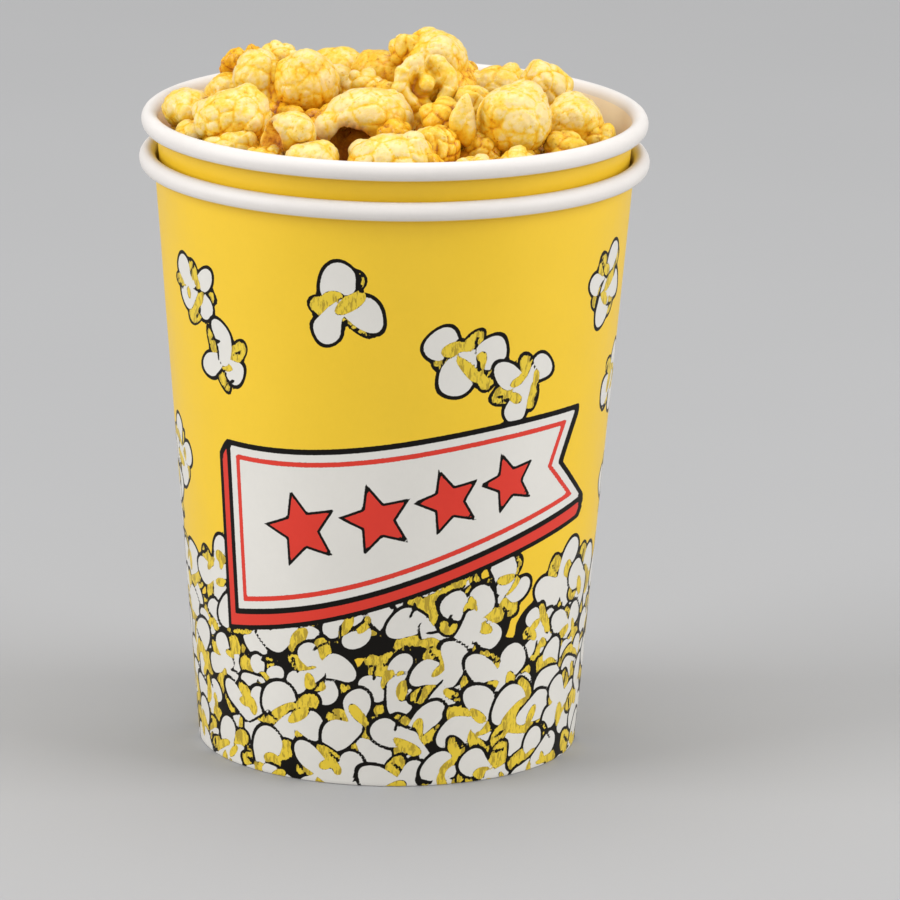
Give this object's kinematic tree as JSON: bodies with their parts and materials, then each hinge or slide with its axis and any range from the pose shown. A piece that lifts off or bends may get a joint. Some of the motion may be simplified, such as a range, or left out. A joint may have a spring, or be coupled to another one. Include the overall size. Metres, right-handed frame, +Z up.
{
  "type": "bucket of popcorn",
  "caption": "Tall tapered paper tub with a rolled rim, nested in a second one whose rim shows below the first, filled over the brim with round popped corn.",
  "frame": {"origin": "middle of the lower tub's foot ring, on the surface that it stands on", "axes": "+Z up along the tubs' common axis, +X to the right and -Y towards the viewer as seen from the printed front"},
  "size_m": [0.1612, 0.1612, 0.2296],
  "materials": {
    "printed_board": "coated paperboard, printed and satin-varnished",
    "popped_corn": "buttered popped corn, matt with a slight sheen"
  },
  "bodies": {
    "root": {"outer_tub": "printed_board", "inner_tub": "printed_board", "popcorn": "popped_corn"}
  },
  "joints": []
}
